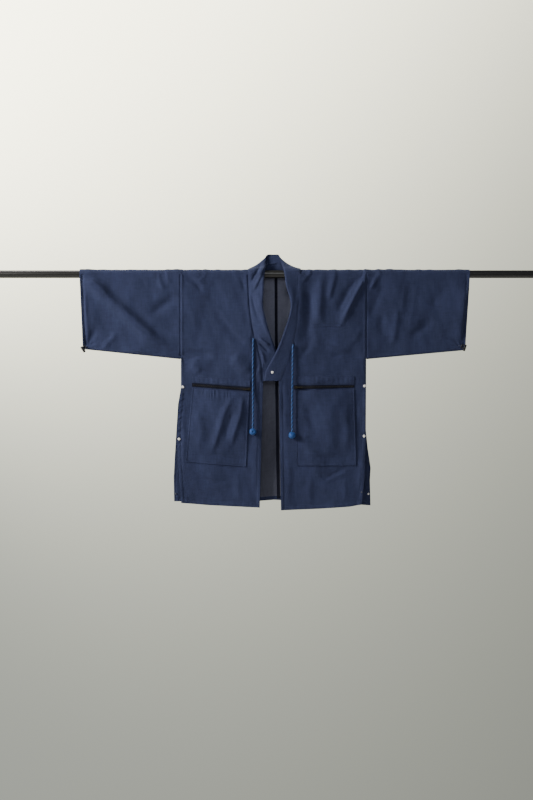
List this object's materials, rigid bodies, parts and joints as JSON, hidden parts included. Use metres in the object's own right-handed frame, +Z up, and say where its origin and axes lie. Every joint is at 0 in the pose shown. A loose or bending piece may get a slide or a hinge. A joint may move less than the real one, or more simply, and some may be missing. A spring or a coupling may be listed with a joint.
{
  "type": "happi coat on a hanging rod",
  "caption": "Wide-sleeved happi coat hanging flat on a straight round rod, with banded collar, zipped patch pockets, side vents and knotted cords.",
  "frame": {"origin": "on the rod's axis, at the middle of the coat", "axes": "+X along the rod, to the right as seen from the front; the coat's front faces -Y; +Z up"},
  "size_m": [1.8, 0.0654, 0.8193],
  "materials": {
    "indigo_cloth": "plain-woven indigo cloth, matt",
    "black_tape": "woven black tape",
    "blue_cord": "twisted bright blue cord",
    "snap_metal": "satin nickel",
    "zip_metal": "dark satin metal",
    "toggle_plastic": "matt black",
    "rod_black": "matt black paint"
  },
  "bodies": {
    "coat": {"back_seam_tape": "black_tape", "body_left": "indigo_cloth", "body_right": "indigo_cloth", "chest_welt": "indigo_cloth", "collar": "indigo_cloth", "cord_left": "blue_cord", "cord_right": "blue_cord", "cuff_toggle_left": "toggle_plastic", "cuff_toggle_right": "toggle_plastic", "knot_left": "blue_cord", "knot_right": "blue_cord", "neck_facing": "indigo_cloth", "pocket_left": "indigo_cloth", "pocket_right": "indigo_cloth", "pocket_strip_left": "indigo_cloth", "pocket_strip_right": "indigo_cloth", "rod": "rod_black", "sleeve_left": "indigo_cloth", "sleeve_right": "indigo_cloth", "snap_collar": "snap_metal", "snap_left_low": "snap_metal", "snap_left_middle": "snap_metal", "snap_left_top": "snap_metal", "snap_right_back": "snap_metal", "snap_right_low": "snap_metal", "snap_right_middle": "snap_metal", "snap_right_top": "snap_metal", "zip_slider_left": "zip_metal", "zip_slider_right": "zip_metal", "zip_tape_left": "black_tape", "zip_tape_right": "black_tape"},
    "left_pull": {"pull_tab_left": "zip_metal"},
    "right_pull": {"pull_tab_right": "zip_metal"}
  },
  "joints": [
    {"name": "left_pull_turn", "type": "hinge", "parent": "coat", "child": "left_pull", "pos_m": [-0.08, -0.02145, -0.3682], "axis": [0, 0, 1], "range_deg": [0, 145]},
    {"name": "right_pull_turn", "type": "hinge", "parent": "coat", "child": "right_pull", "pos_m": [0.07, -0.02145, -0.3622], "axis": [0, 0, -1], "range_deg": [0, 145]}
  ]
}
